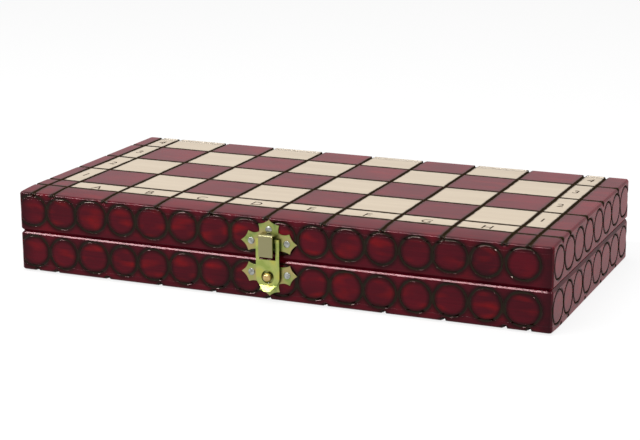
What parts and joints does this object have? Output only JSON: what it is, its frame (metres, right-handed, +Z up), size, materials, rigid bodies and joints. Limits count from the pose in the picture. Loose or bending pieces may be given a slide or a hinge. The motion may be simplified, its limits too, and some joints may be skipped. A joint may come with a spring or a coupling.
{
  "type": "folding chess case",
  "caption": "Folding wooden chess case: two shallow trays hinged at one long side, playing board on the outside, burnt ring ornament and a snap hasp.",
  "frame": {"origin": "centre of the flat underside of the closed case", "axes": "+X along the long side to the right, +Y from the clasp to the hinges, +Z up"},
  "size_m": [0.34, 0.1784, 0.0513],
  "materials": {
    "maroon_wood": "stained maroon, glossy lacquer over burnt lines",
    "light_wood": "pale wood, lacquered",
    "hinge_brass": "plated, satin",
    "nail_steel": "plated, domed",
    "clasp_plated": "yellow plated sheet, semi-gloss",
    "stud_brass": "polished ball"
  },
  "bodies": {
    "base": {"base_panel": "maroon_wood", "base_light_squares": "light_wood", "base_front_wall": "maroon_wood", "base_back_wall": "maroon_wood", "base_left_wall": "maroon_wood", "base_right_wall": "maroon_wood", "hinge_left_base_leaf": "hinge_brass", "hinge_right_base_leaf": "hinge_brass", "hinge_left_pin": "nail_steel", "hinge_right_pin": "nail_steel", "hinge_base_screws": "hinge_brass", "clasp_catch_plate": "clasp_plated", "clasp_ball_stud": "stud_brass", "clasp_catch_nails": "nail_steel"},
    "lid": {"lid_panel": "maroon_wood", "lid_light_squares": "light_wood", "lid_front_wall": "maroon_wood", "lid_back_wall": "maroon_wood", "lid_left_wall": "maroon_wood", "lid_right_wall": "maroon_wood", "hinge_left_lid_leaf": "hinge_brass", "hinge_right_lid_leaf": "hinge_brass", "hinge_lid_screws": "hinge_brass", "clasp_keeper": "clasp_plated", "clasp_keeper_nails": "nail_steel"},
    "hasp": {"clasp_hasp": "clasp_plated"}
  },
  "joints": [
    {"name": "lid_hinge", "type": "hinge", "parent": "base", "child": "lid", "pos_m": [0, 0.08515, 0.02565], "axis": [-1, 0, 0], "range_deg": [0, 180]},
    {"name": "hasp_swing", "type": "hinge", "parent": "lid", "child": "hasp", "pos_m": [0, -0.0877, 0.03735], "axis": [-1, 0, 0], "range_deg": [0, 110]}
  ]
}
